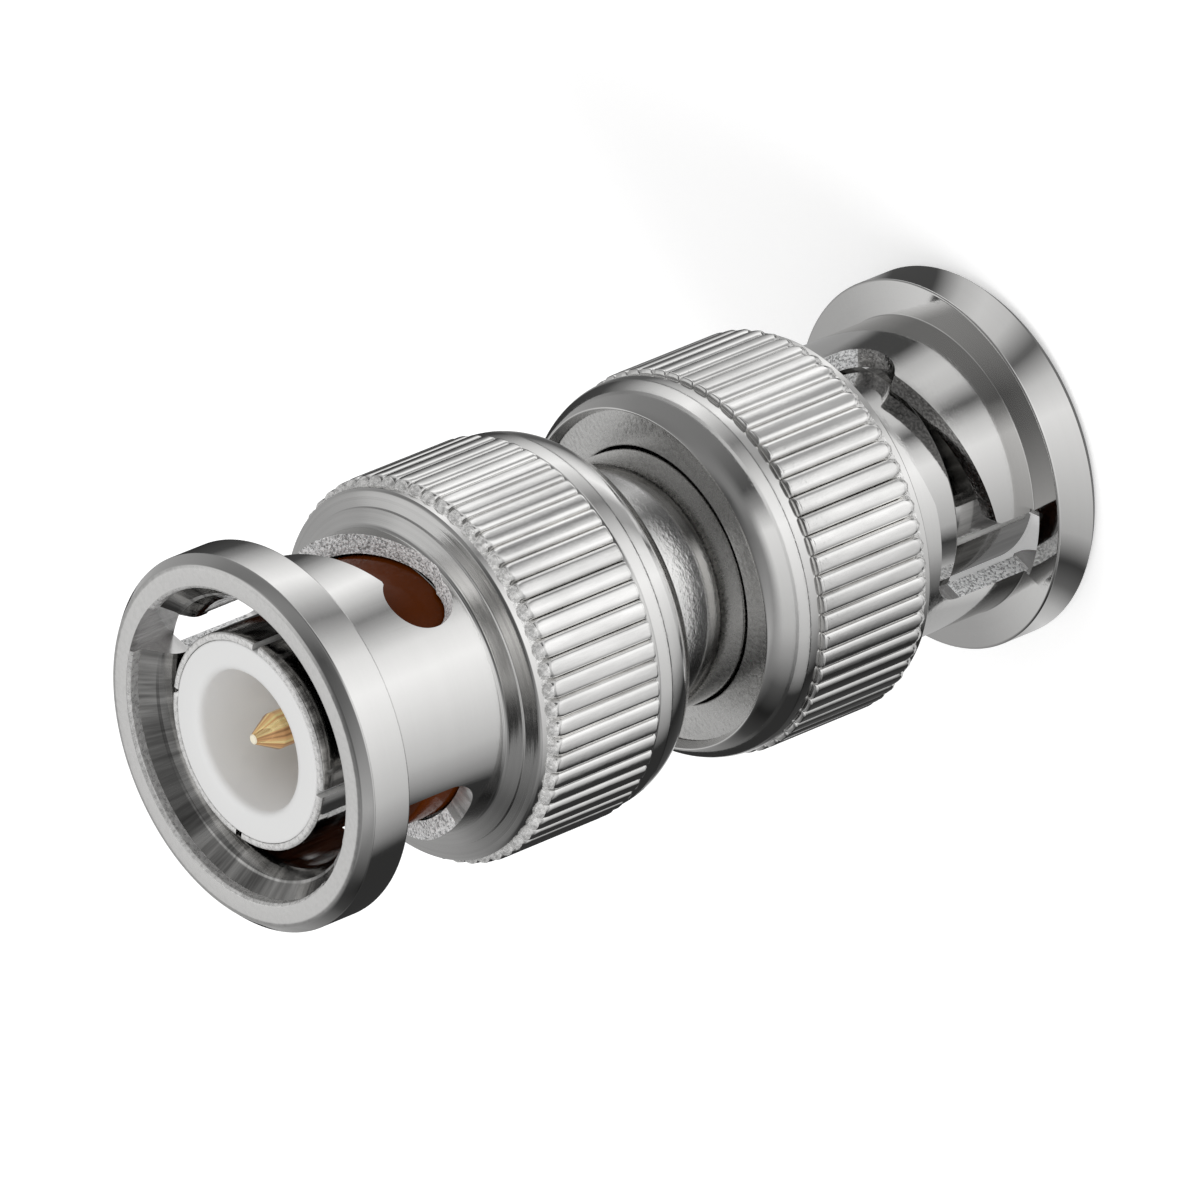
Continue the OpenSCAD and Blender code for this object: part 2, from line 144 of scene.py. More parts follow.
class MeshShop:
    """Makes mesh objects from rows of points."""

    SHARP_ABOVE = math.radians(33)

    @staticmethod
    def finish_mesh(name: str, verts: np.ndarray, faces: list[tuple[int, ...]]) -> Piece:
        """Makes an object with outward faces from points in millimetres."""
        mesh = bpy.data.meshes.new(name)
        mesh.from_pydata((verts * MM).tolist(), [], faces)
        work = bmesh.new()
        work.from_mesh(mesh)
        bmesh.ops.recalc_face_normals(work, faces=work.faces)
        work.to_mesh(mesh)
        work.free()
        piece = bpy.data.objects.new(name, mesh)
        bpy.context.scene.collection.objects.link(piece)
        return piece

    @classmethod
    def turned(
        cls,
        name: str,
        outline: Sequence[RimPoint],
        angles: np.ndarray,
        radii: np.ndarray | None = None,
        lift: np.ndarray | None = None,
        sheet: bool = False,
    ) -> Piece:
        """Turns an outline about the axis.

        Args:
            name: name of the object.
            outline: radius and depth of each row; a radius of zero is a pole.
            angles: angle of each column.
            radii: radius of every column and row, where it isn't the same all round.
            lift: depth added to each column, where it waves.
            sheet: whether it is a card without thickness.

        Returns:
            The turned object, with its rows closed in a loop unless it has poles or is a sheet.
        """
        rows = np.array(outline, float)
        poles = [i for i in range(len(rows)) if rows[i, 0] == 0]
        body = [i for i in range(len(rows)) if i not in poles]
        count, height = len(angles), len(body)
        r = np.tile(rows[body, 0], (count, 1)) if radii is None else radii
        z = np.tile(rows[body, 1], (count, 1)) + (0.0 if lift is None else lift[:, None])
        across, along = np.cos(angles)[:, None], np.sin(angles)[:, None]
        verts = np.stack([r * across, r * along, z], axis=2).reshape(-1, 3)
        columns = [(c * height, (c + 1) % count * height) for c in range(count)]
        steps = [(k, (k + 1) % height) for k in range(height - 1 if poles or sheet else height)]
        faces = [(a + k, b + k, b + up, a + up) for a, b in columns for k, up in steps]
        for pole in poles:
            verts = np.vstack([verts, [0.0, 0.0, rows[pole, 1]]])
            near = 0 if pole == 0 else height - 1
            faces += [(len(verts) - 1, a + near, b + near) for a, b in columns]
        return cls.finish_mesh(name, verts, faces)

    @staticmethod
    def cut(piece: Piece, cutter: Piece) -> None:
        """Takes the cutter's space out of a piece and throws the cutter away."""
        tool = piece.modifiers.new("cut", "BOOLEAN")
        tool.operation, tool.solver, tool.object = "DIFFERENCE", "MANIFOLD", cutter
        tool.material_mode = "TRANSFER"
        graph = bpy.context.evaluated_depsgraph_get()
        made = bpy.data.meshes.new_from_object(piece.evaluated_get(graph))
        piece.modifiers.clear()
        piece.data = made
        bpy.data.objects.remove(cutter)

    @classmethod
    def smooth(cls, piece: Piece) -> None:
        """Smooth shading that breaks at real edges."""
        piece.data.shade_smooth()
        piece.data.set_sharp_from_angle(angle=cls.SHARP_ABOVE)


class Tree:
    """A node tree with short calls for adding and joining nodes."""

    def __init__(self, tree: bpy.types.NodeTree) -> None:
        """Works on one node tree."""
        self.tree = tree

    def add(self, kind: str, fed: Feeds | None = None, **values: object) -> bpy.types.Node:
        """Adds a node.

        Args:
            kind: short name of a shader node, or full name of a group's node.
            fed: what goes into its inputs, by their names or numbers.
            values: its properties.

        Returns:
            The node.
        """
        node = self.tree.nodes.new(f"ShaderNode{kind}" if "Group" not in kind else kind)
        for name, value in values.items():
            setattr(node, name, value)
        for key, value in (fed or {}).items():
            self.feed(node.inputs[key], value)
        return node

    def feed(self, socket: Socket, value: object) -> None:
        """Joins a socket to another, or sets its number."""
        if isinstance(value, Socket):
            self.tree.links.new(value, socket)
        else:
            socket.default_value = value

    def math(self, operation: str, *values: object) -> Socket:
        """Result of a math node fed with sockets or numbers."""
        return self.add("Math", dict(enumerate(values)), operation=operation).outputs[0]

    def times(self, first: object, second: object) -> Socket:
        """Product of two sockets or numbers."""
        return self.math("MULTIPLY", first, second)

    def vector(self, operation: str, first: object, second: object = (0, 0, 0)) -> Socket:
        """Result of a vector math node fed with sockets or numbers."""
        fed = {0: first, "Scale" if operation == "SCALE" else 1: second}
        return self.add("VectorMath", fed, operation=operation).outputs[0]

    def parts(self, place: Socket) -> list[Socket]:
        """The three numbers of a place."""
        return list(self.add("SeparateXYZ", {0: place}).outputs)

    def own_place(self) -> Socket:
        """Place on the object's own axes."""
        return self.add("TexCoord").outputs["Object"]

    def span(self, value: object, low: float, high: float, to_low: float, to_high: float) -> Socket:
        """Value carried from the range low to high to the range to_low to to_high, clamped."""
        fed = dict(enumerate((value, low, high, to_low, to_high)))
        return self.add("MapRange", fed).outputs[0]

    def sectors(self, turn: Socket, levels: Levels) -> Socket:
        """Light and dark sectors round the axis.

        Args:
            turn: angle about the axis, in radians from minus pi to pi.
            levels: angle in degrees and level of each stop.

        Returns:
            The level at the angle.
        """
        ramp = self.add("ValToRGB", {0: self.span(turn, -math.pi, math.pi, 0.0, 1.0)})
        stops = sorted((((a + 180) % 360) / 360, v) for a, v in levels)
        (x0, v0), (x1, v1) = stops[-1], stops[0]
        seam = v0 + (v1 - v0) * (1 - x0) / (1 - x0 + x1)
        for i, (x, v) in enumerate([(0.0, seam), *stops, (1.0, seam)]):
            stop = ramp.color_ramp.elements[i] if i < 2 else ramp.color_ramp.elements.new(x)
            stop.position = x
            stop.color = (v, v, v, 1)
        return ramp.outputs[0]

    def noise(self, where: object, scale: float, detail: float, one_way: bool = False) -> Socket:
        """Noise at a place, or at one number if it runs one way, about 0.5 on average."""
        space, label = ("1D", "W") if one_way else ("3D", "Vector")
        fed = {label: where, "Scale": scale, "Detail": detail, "Roughness": 0.6}
        return self.add("TexNoise", fed, noise_dimensions=space).outputs["Fac"]


Drawing = Callable[[Tree, Socket, Socket], tuple[Socket, Socket]]
Shading = Callable[[Tree, list[Socket]], Socket]


class SharedEffects:
    """Surface effects that several finishes use, each a node group made once.

    A group takes a place in metres and one dial, and puts out a height and a tone.
    """

    def __init__(self) -> None:
        """Makes every group, under the name that a finish has for it."""
        self.groups = {
            "rings": self.group("ring_marks", "Density", self.lathe_rings),
            "grain": self.group("plating_grain", "Fineness", self.orange_peel),
            "cut": self.group("rough_cut", "Fineness", self.speckle),
            "drawn": self.group("drawn_lines", "Density", self.tool_lines),
            "scratches": self.group("handling", "Amount", self.scratches),
        }

    @staticmethod
    def group(name: str, dial: str, effect: Drawing) -> bpy.types.NodeTree:
        """Makes one group.

        Args:
            name: name of the group.
            dial: name of its number input.
            effect: draws its inside from a place in millimetres and the dial.

        Returns:
            The group.
        """
        made = bpy.data.node_groups.new(name, "ShaderNodeTree")
        made.interface.new_socket("Place", in_out="INPUT", socket_type="NodeSocketVector")
        made.interface.new_socket(dial, in_out="INPUT", socket_type="NodeSocketFloat")
        for label in ("Height", "Tone"):
            made.interface.new_socket(label, in_out="OUTPUT", socket_type="NodeSocketFloat")
        tree = Tree(made)
        given = tree.add("NodeGroupInput").outputs
        place = tree.vector("SCALE", given["Place"], 1 / MM)
        tree.add("NodeGroupOutput", dict(enumerate(effect(tree, place, given[dial]))))
        return made

    @staticmethod
    def lathe_rings(tree: Tree, place: Socket, density: Socket) -> tuple[Socket, Socket]:
        """Fine rings left by the lathe, round every turned face."""
        x, y, z = tree.parts(place)
        square = tree.math("ADD", tree.times(x, x), tree.times(y, y))
        travel = tree.math("MULTIPLY_ADD", z, 0.83, tree.math("SQRT", square))
        run = tree.times(travel, density)
        fine = tree.noise(run, 1.0, 3.0, one_way=True)
        broad = tree.noise(tree.times(run, 0.17), 1.0, 2.0, one_way=True)
        patch = tree.span(tree.noise(place, 0.35, 2.0), 0.35, 0.65, 0.6, 1.0)
        tone = tree.math("MULTIPLY_ADD", fine, 0.4, tree.times(broad, 0.6))
        return tree.times(fine, patch), tone

    @staticmethod
    def orange_peel(tree: Tree, place: Socket, fineness: Socket) -> tuple[Socket, Socket]:
        """The soft orange peel of plating over a rolled or tumbled surface."""
        scaled = tree.vector("SCALE", place, fineness)
        soft, fine = tree.noise(scaled, 1.0, 1.5), tree.noise(scaled, 3.1, 1.0)
        return tree.math("MULTIPLY_ADD", fine, 0.35, soft), tree.noise(scaled, 0.21, 2.0)

    @staticmethod
    def speckle(tree: Tree, place: Socket, fineness: Socket) -> tuple[Socket, Socket]:
        """Sparkling speckle of a milled wall that was plated without polishing."""
        scaled = tree.vector("SCALE", place, fineness)
        grain = tree.noise(scaled, 1.0, 2.0)
        cells = tree.add("TexVoronoi", {"Vector": scaled, "Scale": 1.3}, feature="SMOOTH_F1")
        height = tree.math("ADD", grain, cells.outputs["Distance"])
        return height, tree.span(grain, 0.35, 0.65, 0.0, 1.0)

    @staticmethod
    def tool_lines(tree: Tree, place: Socket, density: Socket) -> tuple[Socket, Socket]:
        """Lines along the axis, left where a tool was drawn through or a tube was drawn. With a
        strong tone, as on the gilt pins, they also paint light and dark reflection streaks.
        """
        outward = tree.vector("NORMALIZE", tree.vector("MULTIPLY", place, (1.0, 1.0, 0.0)))
        along = tree.vector("MULTIPLY", place, (0.0, 0.0, 0.02))
        both = tree.vector("ADD", outward, along)
        scaled = tree.vector("SCALE", both, tree.times(density, 5.0))
        fine, broad = tree.noise(scaled, 1.0, 3.0), tree.noise(scaled, 0.24, 1.0)
        mixed = tree.math("MULTIPLY_ADD", fine, 0.5, tree.times(broad, 0.5))
        return fine, tree.span(mixed, 0.38, 0.62, 0.0, 1.0)

    @staticmethod
    def scratches(tree: Tree, place: Socket, amount: Socket) -> tuple[Socket, Socket]:
        """Sparse fine scratches and faint smudges from handling."""
        fed = {"Vector": place, "Rotation": (0.3, 0.2, 0.4), "Scale": (1.0, 1.0, 9.0)}
        line = tree.noise(tree.add("Mapping", fed).outputs[0], 1.6, 2.0)
        off_line = tree.math("ABSOLUTE", tree.math("SUBTRACT", line, 0.5))
        thin = tree.math("SUBTRACT", 1.0, tree.span(off_line, 0.0, 0.012, 0.0, 1.0))
        return tree.times(thin, amount), tree.noise(place, 0.5, 3.0)


@dataclass(frozen=True)
class Effect:
    """How strongly one shared effect shows in a finish."""

    fineness: float
    depth_um: float
    tone: float
    gloss: float = 0.0


@dataclass(frozen=True)
class Finish:
    """One finish: its colour, its gloss and the effects laid over it."""

    name: str
    colour: Colour
    roughness: float
    metallic: float = 1.0
    rings: Effect | None = None
    grain: Effect | None = None
    cut: Effect | None = None
    drawn: Effect | None = None
    scratches: Effect | None = None
    ior: float = 1.5

    def material(self, shared: SharedEffects) -> bpy.types.Material:
        """Makes the node material.

        Args:
            shared: the effect groups.

        Returns:
            A material with colour, roughness and normal that vary over the surface.
        """
        made = bpy.data.materials.new(self.name)
        made.use_nodes = True
        tree = Tree(made.node_tree)
        inputs = made.node_tree.nodes["Principled BSDF"].inputs
        place = tree.own_place()
        normal: Socket | None = None
        tone: object = 1.0
        roughness: object = self.roughness
        for label, group in shared.groups.items():
            effect: Effect | None = getattr(self, label)
            if effect is None:
                continue
            layer = tree.add("ShaderNodeGroup", {0: place, 1: effect.fineness}, node_tree=group)
            height, depth = layer.outputs["Height"], effect.depth_um * MICRON
            bump = tree.add("Bump", {"Strength": 1.0, "Distance": depth, "Height": height})
            if normal is not None:
                tree.feed(bump.inputs["Normal"], normal)
            normal = bump.outputs["Normal"]
            centred = tree.math("SUBTRACT", layer.outputs["Tone"], 0.5)
            tone = tree.math("MULTIPLY_ADD", centred, effect.tone, tone)
            if effect.gloss:
                roughness = tree.math("MULTIPLY_ADD", centred, effect.gloss, roughness)
        inputs["Metallic"].default_value = self.metallic
        inputs["IOR"].default_value = self.ior
        tree.feed(inputs["Normal"], normal)
        tree.feed(inputs["Base Color"], tree.vector("SCALE", self.colour, tone))
        tree.feed(inputs["Roughness"], roughness)
        return made


def warm_grey(level: float) -> Colour:
    """The faintly yellow grey of nickel plating."""
    return (level, level - 0.005, level - 0.015)


class Finishes:
    """Every finish of the adapter as a material."""

    NUT = Finish(
        "nickel_turned", warm_grey(0.76), 0.075,
        rings=Effect(7.0, 0.45, 0.05, 0.04), scratches=Effect(1.0, 0.2, 0.02),
    )
    FACE = Finish("nickel_mottled", warm_grey(0.74), 0.17, cut=Effect(4.0, 1.6, 0.14, 0.1))
    KNURL = Finish(
        "nickel_knurled", warm_grey(0.82), 0.11,
        grain=Effect(1.9, 9.0, 0.2, 0.06), drawn=Effect(3.5, 3.0, 0.22),
    )
    CONE = Finish("nickel_faced", warm_grey(0.72), 0.12, rings=Effect(11.0, 4.0, 0.5, 0.08))
    BORE = Finish("nickel_bored", warm_grey(0.48), 0.12, drawn=Effect(3.4, 5.0, 1.2, 0.1))
    SLOT_WALL = Finish(
        "nickel_rough_cut", (0.89, 0.895, 0.90), 0.3, metallic=0.2,
        cut=Effect(10.0, 30.0, 1.15, 0.1),
    )
    SLOT_EDGE = Finish(
        "nickel_slot_edge", (0.42, 0.415, 0.41), 0.14, cut=Effect(9.0, 6.0, 0.8, 0.1)
    )
    NOSE = Finish(
        "nickel_tooth_nose", warm_grey(0.80), 0.27, metallic=0.5, cut=Effect(7.0, 7.0, 0.5, 0.1)
    )
    NOTCH = Finish(
        "nickel_milled", (0.70, 0.695, 0.69), 0.22, metallic=0.75, drawn=Effect(9.0, 5.0, 0.5, 0.1)
    )
    BODY = Finish("nickel_orange_peel", warm_grey(0.78), 0.07, grain=Effect(6.0, 1.1, 0.05, 0.03))
    CONTACT = Finish("nickel_drawn", warm_grey(0.82), 0.09, drawn=Effect(2.5, 1.5, 0.4, 0.03))
    TIP = Finish("nickel_tip", warm_grey(0.80), 0.3, metallic=0.6, cut=Effect(6.0, 10.0, 0.35, 0.1))
    WASHER = Finish("steel_satin", warm_grey(0.68), 0.27, cut=Effect(6.0, 6.0, 0.25, 0.1))
    SPRING = Finish("steel_strip", (0.5, 0.5, 0.5), 0.3, grain=Effect(3.0, 2.0, 0.05, 0.05))
    PLASTIC = Finish(
        "white_moulding", (0.79, 0.79, 0.785), 0.42, metallic=0.0, ior=1.45,
        grain=Effect(1.2, 2.5, 0.015, 0.06),
    )
    SILICONE = Finish(
        "brown_silicone", (0.085, 0.0165, 0.001), 0.16, metallic=0.0, ior=1.2,
        grain=Effect(1.3, 14.0, 0.6, 0.1),
    )
    # A darker copy of the brown silicone for the lower gasket: painted shade, which also dims its
    # reflection in the lower nut's rim.
    SILICONE_PAINTED_SHADE = Finish(
        "brown_silicone_painted_shade", (0.02, 0.005, 0.001), 0.2, metallic=0.0, ior=1.2,
        grain=Effect(1.3, 12.0, 0.6, 0.1),
    )
    # The gilt's strong drawn-line tone is partly real drawn lines and partly painted light and dark
    # reflection streaks.
    GILT = Finish("gilt", (1.0, 0.57, 0.27), 0.08, metallic=0.8, drawn=Effect(1.0, 2.5, 1.9, 0.05))
    # Pale cream on the blunt end of each pin is a painted highlight.
    GILT_TIP_PAINTED_HIGHLIGHT = Finish(
        "gilt_tip_painted_highlight", (1.0, 0.93, 0.74), 0.3, metallic=0.25, grain=Effect(3.0, 1.0, 0.05, 0.05)
    )

    def __init__(self, shared: SharedEffects) -> None:
        """Makes each material once."""
        own = [f for f in vars(Finishes).values() if isinstance(f, Finish)]
        self.made = {finish: finish.material(shared) for finish in own}

    def dress(self, piece: Piece, *finishes: Finish) -> None:
        """Puts finishes in a piece's material slots, in order."""
        while len(piece.data.materials) < len(finishes):
            piece.data.materials.append(None)
        for i, finish in enumerate(finishes):
            piece.data.materials[i] = self.made[finish]


@dataclass
class Fitting:
    """A piece or group of pieces, and where it belongs in the packed part."""

    finishes: Finishes

    def turn(self, name: str, corners: Sequence[Corner], columns: int, *kinds: Finish) -> Piece:
        """Turns a closed outline with so many columns into a piece dressed in some finishes."""
        outline = rounded_outline(corners, closed=True)
        piece = MeshShop.turned(name, outline, even_angles(columns))
        self.finishes.dress(piece, *kinds)
        return piece

    def place(self, piece: Piece, where: Matrix, node: str, body: str, slot: str) -> None:
        """Moves a finished mesh to its node's place and lets it ride on its body.

        Args:
            piece: the finished mesh, in its own drawing.
            where: from the drawing to the row frame.
            node: the CAD node that it stands for.
            body: the body that it moves with.
            slot: the record's material slot; not used.
        """
        piece.data.transform(where)
        MeshShop.smooth(piece)
        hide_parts(node)
        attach(piece, body)
        log.info("%s: %d faces on %s", piece.name, len(piece.data.polygons), body)


@dataclass
class EndFitting(Fitting):
    """A piece that both ends have, drawn from the rim face."""

    end: End

    def seat(
        self, piece: Piece, node: str, slot: str, body: str = "body", turn: float = 0.0
    ) -> None:
        """Puts a piece in its place at this end, turned by an angle in degrees."""
        spin = Matrix.Rotation(math.radians(turn), 4, "Z")
        self.place(piece, self.end.placing() @ spin, self.end.node(node), body, slot)


@dataclass
class CouplingNut(EndFitting):
    """Coupling nut: rim, slotted sleeve, knurled collar and rolled back edge in one piece."""

    KINDS = (
        Finishes.NUT, Finishes.SLOT_WALL, Finishes.KNURL, Finishes.BORE, Finishes.CONE,
        Finishes.FACE, Finishes.NOTCH, Finishes.TIP, Finishes.NOSE, Finishes.SLOT_EDGE,
    )

    turn_by: float
    rim_r: float = 7.03
    rim_t: float = 2.05
    rim_bevel: float = 0.45
    rim_bevel_end: float = 0.395
    face_step: RimPoint = (0.15, 0.05)
    mouth_r: float = 5.83
    mouth_bevel: float = 0.1
    mouth_wall: float = 0.42
    mouth_land: tuple[float, float] = (0.3, 0.45)
    mouth_steps: tuple[RimPoint, ...] = ((5.29, 0.975), (5.39, 0.925))
    mouth_depth: float = 1.5
    bore_r: float = 4.95
    sleeve_r: float = 5.68
    collar_depth: float = 7.65
    cone_back: float = 8.2
    cone_step: float = 0.08
    root_r: float = 6.95
    tooth_rise: float = 0.298
    tooth_fullness: float = 2.4
    nose_thinning: float = 1.1
    tooth_count: int = 60
    tooth_start: float = 8.5
    tooth_front: float = 0.6
    tooth_back: float = 0.14
    tooth_end: float = 13.6
    nose_depth: float = 0.26
    dome_base_r: float = 7.11
    dome_r: float = 2.2
    dome_start: float = 14.089
    dome_steps: int = 18
    shoulder_drop: float = 0.09
    shoulder_dip: float = 0.05
    shoulder_gap: float = 0.06
    shoulder_run: float = 0.43
    crest_r: float = 6.45
    crest_w: float = 0.08
    length: float = 15.66
    lip_r: float = 6.2
    lip_front: float = 15.24
    chamber_r: float = 6.42
    stop_depth: float = 8.6
    entry_w: float = 2.66
    entry_soft: float = 2.2
    entry_soft_rise: float = 0.3
    groove_front: float = -1.0
    groove_w: float = 2.4
    entry_depth: float = 6.55
    groove_r: float = 5.95
    ramp_front: float = 3.84
    ramp_rise: float = 0.0218
    ramp_back_start: float = 30.0
    ramp_back: float = 7.6
    lock_angle: float = 92.75
    lock_depth: float = 6.12
    lock_r: float = 1.3
    ramp_stop: float = 9.0
    tooth_columns: tuple[float, ...] = (-1.0, -0.94, -0.85, -0.7, -0.42, 0.0, 0.42, 0.7, 0.85, 0.94)

    def front(self) -> list[RimPoint]:
        """Outline from the mouth to the teeth: rim, sleeve and the two steps of the cone."""
        face_r = self.rim_r - self.rim_bevel
        cone_r = (self.sleeve_r + self.root_r) / 2
        cone_mid = (self.collar_depth + self.cone_back) / 2
        corners = [
            Corner(self.mouth_r, self.mouth_land[0]),
            Corner(self.mouth_r, self.mouth_bevel, 0.03),
            Corner(self.mouth_r + self.mouth_bevel, 0.0, 0.03),
            Corner(face_r, 0.0, 0.05),
            Corner(face_r + self.face_step[0], self.face_step[1], 0.05),
            Corner(self.rim_r, self.rim_bevel_end, 0.06),
            Corner(self.rim_r, self.rim_t, 0.10),
            Corner(self.sleeve_r, self.rim_t, 0.04),
            Corner(self.sleeve_r, self.collar_depth, 0.12),
            Corner(cone_r, cone_mid, 0.02),
            Corner(cone_r, cone_mid + self.cone_step, 0.03),
            Corner(self.root_r - self.cone_step, self.cone_back, 0.05),
            Corner(self.root_r, self.cone_back + self.cone_step, 0.02),
            Corner(self.root_r, self.tooth_start - 0.03),
        ]
        return rounded_outline(corners, closed=False)

    def teeth(self) -> list[RimPoint]:
        """Rows that the teeth stand on, close together at both ends."""
        nose = (0.0, 0.02, 0.08, 0.18, 0.32, 0.5, 0.75, 1.0, 1.15)
        tail = (0.2, 0.14, 0.09, 0.05, 0.02, 0.004)
        depths = [self.tooth_start + self.tooth_front * t for t in nose]
        return [(self.root_r, z) for z in depths + [self.tooth_end - t for t in tail]]

    def back(self) -> list[RimPoint]:
        """Outline from the teeth over the rolled edge and back through the bore."""
        roll_end = math.asin((self.length - self.dome_start) / self.dome_r)
        base_r, first = self.dome_base_r, self.tooth_end + self.shoulder_gap
        roll_r = base_r - self.dome_r
        shoulder = [
            Corner(base_r - self.shoulder_dip * (1 - t) ** 2, first + self.shoulder_run * t)
            for t in (0.0, 0.25, 0.5, 0.75)
        ]
        roll = [
            Corner(roll_r + self.dome_r * math.cos(t), self.dome_start + self.dome_r * math.sin(t))
            for t in np.linspace(0, roll_end, self.dome_steps)[:-1]
        ]
        corners = [
            Corner(self.root_r, self.tooth_end),
            Corner(base_r - self.shoulder_drop, self.tooth_end + 0.001, 0.01),
            *shoulder,
            *roll,
            Corner(self.crest_r, self.length, 0.04),
            Corner(self.crest_r - self.crest_w, self.length, 0.04),
            Corner(self.lip_r, self.lip_front, 0.03),
            Corner(self.chamber_r, self.lip_front),
            Corner(self.chamber_r, self.stop_depth),
            Corner(self.bore_r, self.stop_depth, 0.03),
            Corner(self.bore_r, self.mouth_depth, 0.25),
            Corner(*self.mouth_steps[0], 0.02),
            Corner(*self.mouth_steps[1], 0.03),
            Corner(self.mouth_r, self.mouth_land[1], 0.08),
        ]
        return rounded_outline(corners, closed=False)

    def tooth_height(self, across: np.ndarray, depth: float) -> np.ndarray:
        """Height over the root at one depth, by place across a tooth from -1 to 1."""
        nose = max(0.0, (self.tooth_start + self.tooth_front - depth) / self.tooth_front)
        tail = max(0.0, (depth - self.tooth_end + self.tooth_back) / self.tooth_back)
        fullness = self.tooth_fullness - self.nose_thinning * nose
        round_off = np.clip(1 - (np.abs(across) ** 2 + nose**2) ** fullness, 0, 1) ** 0.5
        return self.tooth_rise * round_off * max(0.0, 1 - tail**4) ** 0.5

    def finish_at(self, place: Vector) -> Finish:
        """Finish of the turned surface at a place in the nut's drawing."""
        r, depth = math.hypot(place.x, place.y), place.z
        inside_r = self.mouth_r if depth < self.mouth_depth else self.bore_r
        on_teeth = r > self.root_r - 0.05 and self.tooth_start < depth < self.tooth_end
        on_cone = self.collar_depth + 0.02 < depth < self.cone_back + 0.04
        if depth < self.mouth_wall and -0.02 < r - self.mouth_r < self.mouth_bevel + 0.01:
            return Finishes.TIP
        if depth < self.stop_depth and r < inside_r + 0.005:
            return Finishes.BORE
        if depth < 0.03:
            return Finishes.FACE
        if on_teeth:
            nose = depth < self.tooth_start + self.nose_depth
            return Finishes.NOSE if nose else Finishes.KNURL
        return Finishes.CONE if on_cone and r > self.sleeve_r else Finishes.NUT

    def cut_finish(self, face: bpy.types.MeshPolygon) -> Finish:
        """Finish of a face that a slot cutter left."""
        place = face.center / MM
        turn = abs((math.degrees(math.atan2(place.y, place.x)) + 90) % 180 - 90)
        in_entry_end = turn < 14 and place.z > self.entry_depth - self.entry_w / 2
        if place.z < self.rim_t or in_entry_end:
            return Finishes.NOTCH
        return Finishes.SLOT_EDGE if face.normal.z > 0.6 else Finishes.SLOT_WALL

    def slot_rows(self) -> list[tuple[float, float, float]]:
        """Entry, ramp and lock hole of a cam slot, column by column.

        Returns:
            Angle in degrees, front depth and back depth of each column.
        """
        entry = math.degrees(math.asin(self.entry_w / 2 / self.sleeve_r))
        groove = math.degrees(math.asin(self.groove_w / 2 / self.groove_r))
        ramp_end = self.lock_angle - self.ramp_stop
        degree = math.radians(self.sleeve_r)
        soft = self.entry_soft

        def front_of(a: float) -> float:
            """Depth of the ramp's front edge at an angle in degrees."""
            return self.ramp_front + self.ramp_rise * (a - entry)

        def back_of(a: float) -> float:
            """Depth of the ramp's back edge at an angle in degrees."""
            run = max(0.0, a - self.ramp_back_start)
            return min(self.ramp_back, self.entry_depth + self.ramp_rise * run)

        end_mid = (front_of(ramp_end) + back_of(ramp_end)) / 2
        end_r = (back_of(ramp_end) - front_of(ramp_end)) / 2 + 0.03
        holes = [(ramp_end, end_mid, end_r), (self.lock_angle, self.lock_depth, self.lock_r)]
        last = self.lock_angle + self.lock_r / degree
        quarter = math.pi / 2
        angles = np.concatenate(
            [
                -entry * np.cos(np.linspace(0, quarter, 14)),
                [-groove - 0.01, -groove + 0.01, groove - 0.01, groove + 0.01],
                np.linspace(1, entry - 0.02, 10),
                entry + 0.02 + soft * (1 - np.cos(np.linspace(0, quarter, 7))),
                np.linspace(entry + soft + 1, ramp_end - 1, 50),
                last - (last - ramp_end) * (1 - np.sin(np.linspace(0, quarter, 40))),
            ]
        )
        rows = []
        for a in np.unique(np.round(angles, 5)):
            lows, highs = [], []
            if a <= entry:
                lows.append(self.groove_front if abs(a) < groove else self.rim_t - 0.04)
                side = min(1.0, abs(a) / entry)
                highs.append(self.entry_depth - self.entry_w / 2 * (1 - math.sqrt(1 - side * side)))
            if 0 <= a <= ramp_end:
                corner = max(0.0, 1 - max(0.0, a - entry) / soft)
                rise = self.entry_soft_rise * (1 - math.sqrt(1 - corner * corner))
                lows.append(front_of(max(a, entry)) - rise)
                highs.append(back_of(a))
            for middle, depth, radius in holes:
                reach = abs(a - middle) * degree
                if reach < radius:
                    swing = math.sqrt(radius * radius - reach * reach)
                    lows.append(depth - swing)
                    highs.append(depth + swing)
            if lows and max(highs) - min(lows) > 1e-4:
                rows.append((a, min(lows), max(highs)))
        return rows

    def slot_cutter(self, start: float) -> Piece:
        """Solid that cuts one cam slot, with its entry at an angle in degrees."""
        rows = self.slot_rows()
        r_in, r_out = self.bore_r - 0.5, self.groove_r
        verts = []
        for angle, low, high in rows:
            a = math.radians(angle + start)
            for r, z in ((r_in, low), (r_out, low), (r_out, high), (r_in, high)):
                verts.append((r * math.cos(a), r * math.sin(a), z))
        last = 4 * (len(rows) - 1)
        faces = [
            (i + k, i + (k + 1) % 4, i + 4 + (k + 1) % 4, i + 4 + k)
            for i in range(0, last, 4)
            for k in range(4)
        ]
        faces += [(0, 1, 2, 3), tuple(last + k for k in range(4))]
        cutter = MeshShop.finish_mesh("slot_cutter", np.array(verts), faces)
        self.finishes.dress(cutter, Finishes.SLOT_WALL)
        return cutter

